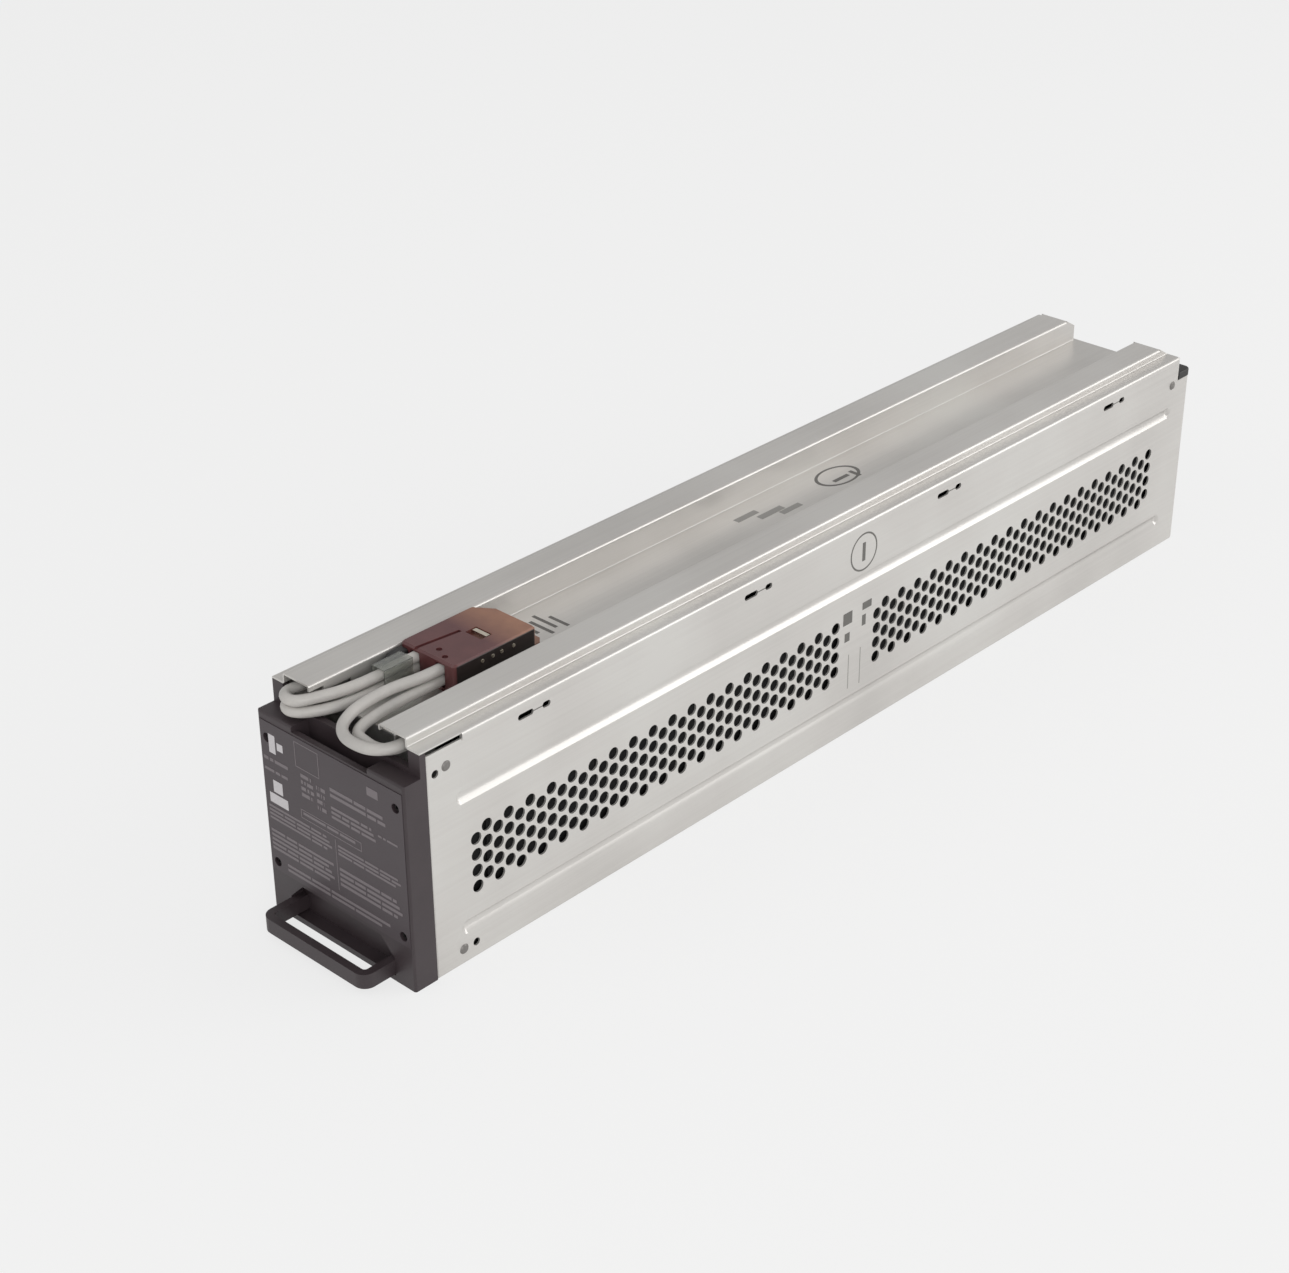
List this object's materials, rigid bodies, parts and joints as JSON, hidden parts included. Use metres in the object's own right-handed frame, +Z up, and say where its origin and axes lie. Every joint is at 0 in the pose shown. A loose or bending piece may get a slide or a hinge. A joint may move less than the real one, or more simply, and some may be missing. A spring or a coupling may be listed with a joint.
{
  "type": "ups battery cartridge",
  "caption": "Long slide-in battery cartridge: perforated folded tray of sealed blocks, hat-section lid, two-pole connector on looped leads, bezel with a fixed pull handle.",
  "frame": {"origin": "centre of the footprint under the base", "axes": "+Z up, -Y towards the bezel and its handle, X across the tray"},
  "size_m": [0.0998, 0.6328, 0.1274],
  "materials": {
    "galvanised_steel": "satin",
    "rivet_steel": "satin",
    "black_screw_steel": "satin",
    "charcoal_moulding": "matte",
    "black_moulding": "matte",
    "label_film": "satin",
    "battery_case": "matte",
    "tinned_brass": "satin",
    "silvered_copper": "satin",
    "foam": "matte",
    "red_brown_moulding": "matte",
    "lead_jacket": "satin",
    "clear_sleeve": "gloss"
  },
  "bodies": {
    "root": {"case_tray": "galvanised_steel", "top_cover": "galvanised_steel", "rear_panel": "galvanised_steel", "front_bulkhead": "galvanised_steel", "rear_bumper_left": "black_moulding", "rear_bumper_right": "black_moulding", "front_bezel": "charcoal_moulding", "bezel_label": "label_film", "bezel_screws": "black_screw_steel", "case_rivets": "rivet_steel", "battery_1": "battery_case", "battery_2": "battery_case", "battery_3": "battery_case", "battery_4": "battery_case", "battery_5": "battery_case", "battery_6": "battery_case", "battery_7": "battery_case", "battery_8": "battery_case", "battery_tabs": "tinned_brass", "series_links": "tinned_brass", "string_fuse": "black_moulding", "return_bar": "black_moulding", "foam_pads": "foam", "connector_housing": "red_brown_moulding", "connector_contacts": "silvered_copper", "cable_clamp": "black_moulding", "lead_lugs": "black_moulding", "lead_sleeve": "clear_sleeve", "lead_left_upper": "lead_jacket", "lead_left_lower": "lead_jacket", "lead_right_upper": "lead_jacket", "lead_right_lower": "lead_jacket"}
  },
  "joints": []
}
